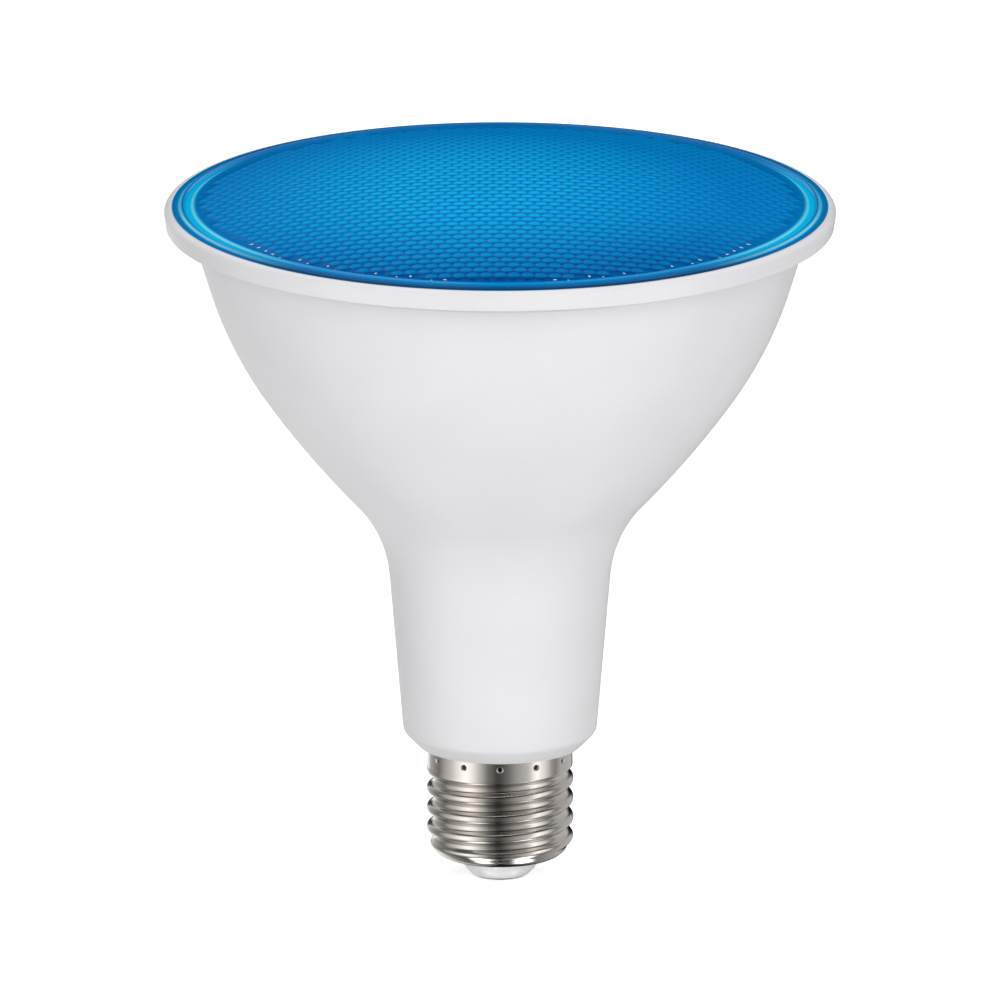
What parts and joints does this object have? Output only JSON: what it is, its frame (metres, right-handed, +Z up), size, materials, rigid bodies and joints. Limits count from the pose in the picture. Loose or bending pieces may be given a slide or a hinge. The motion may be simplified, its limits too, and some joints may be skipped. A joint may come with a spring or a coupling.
{
  "type": "par spotlight bulb",
  "caption": "Screw-in reflector spotlight bulb: flared white housing, front ring, blue honeycomb-textured lens and a threaded metal cap with an insulated centre contact.",
  "frame": {"origin": "middle of the centre contact's lower face, on the lamp's axis", "axes": "+Z up the lamp's axis from the contact to the lens; -Y faces the viewer of the picture"},
  "size_m": [0.1206, 0.1206, 0.1298],
  "materials": {
    "contact_metal": "tinned",
    "insulator_white": "fired",
    "nickel_shell": "nickel-plated and rolled",
    "housing_white": "satin moulded",
    "ring_white": "satin moulded",
    "gasket_rubber": "matt",
    "lens_blue": "clear moulded",
    "sink_aluminium": "pressed",
    "led_board_white": "white solder mask",
    "led_yellow": "phosphor gel",
    "screw_steel": "zinc-plated",
    "driver_green": "solder mask",
    "can_sleeve": "shrink sleeve",
    "film_coat": "dipped coat",
    "ferrite": "sintered",
    "copper_wire": "enamelled",
    "package_black": "moulded",
    "resistor_coat": "lacquered",
    "lead_white": "extruded",
    "lead_red": "extruded",
    "lead_black": "extruded"
  },
  "bodies": {
    "root": {"centre_contact": "contact_metal", "base_insulator": "insulator_white", "screw_shell": "nickel_shell", "housing": "housing_white", "front_ring": "ring_white", "lens_gasket": "gasket_rubber", "lens": "lens_blue", "heat_sink": "sink_aluminium", "led_board": "led_board_white", "led_packages": "led_yellow", "board_screws": "screw_steel", "driver_board": "driver_green", "bulk_capacitor": "can_sleeve", "output_capacitor": "can_sleeve", "film_capacitor": "film_coat", "inductor_core": "ferrite", "inductor_winding": "copper_wire", "bridge_rectifier": "package_black", "controller_chip": "package_black", "fusible_resistor": "resistor_coat", "neutral_lead": "lead_white", "positive_lead": "lead_red", "negative_lead": "lead_black"}
  },
  "joints": []
}
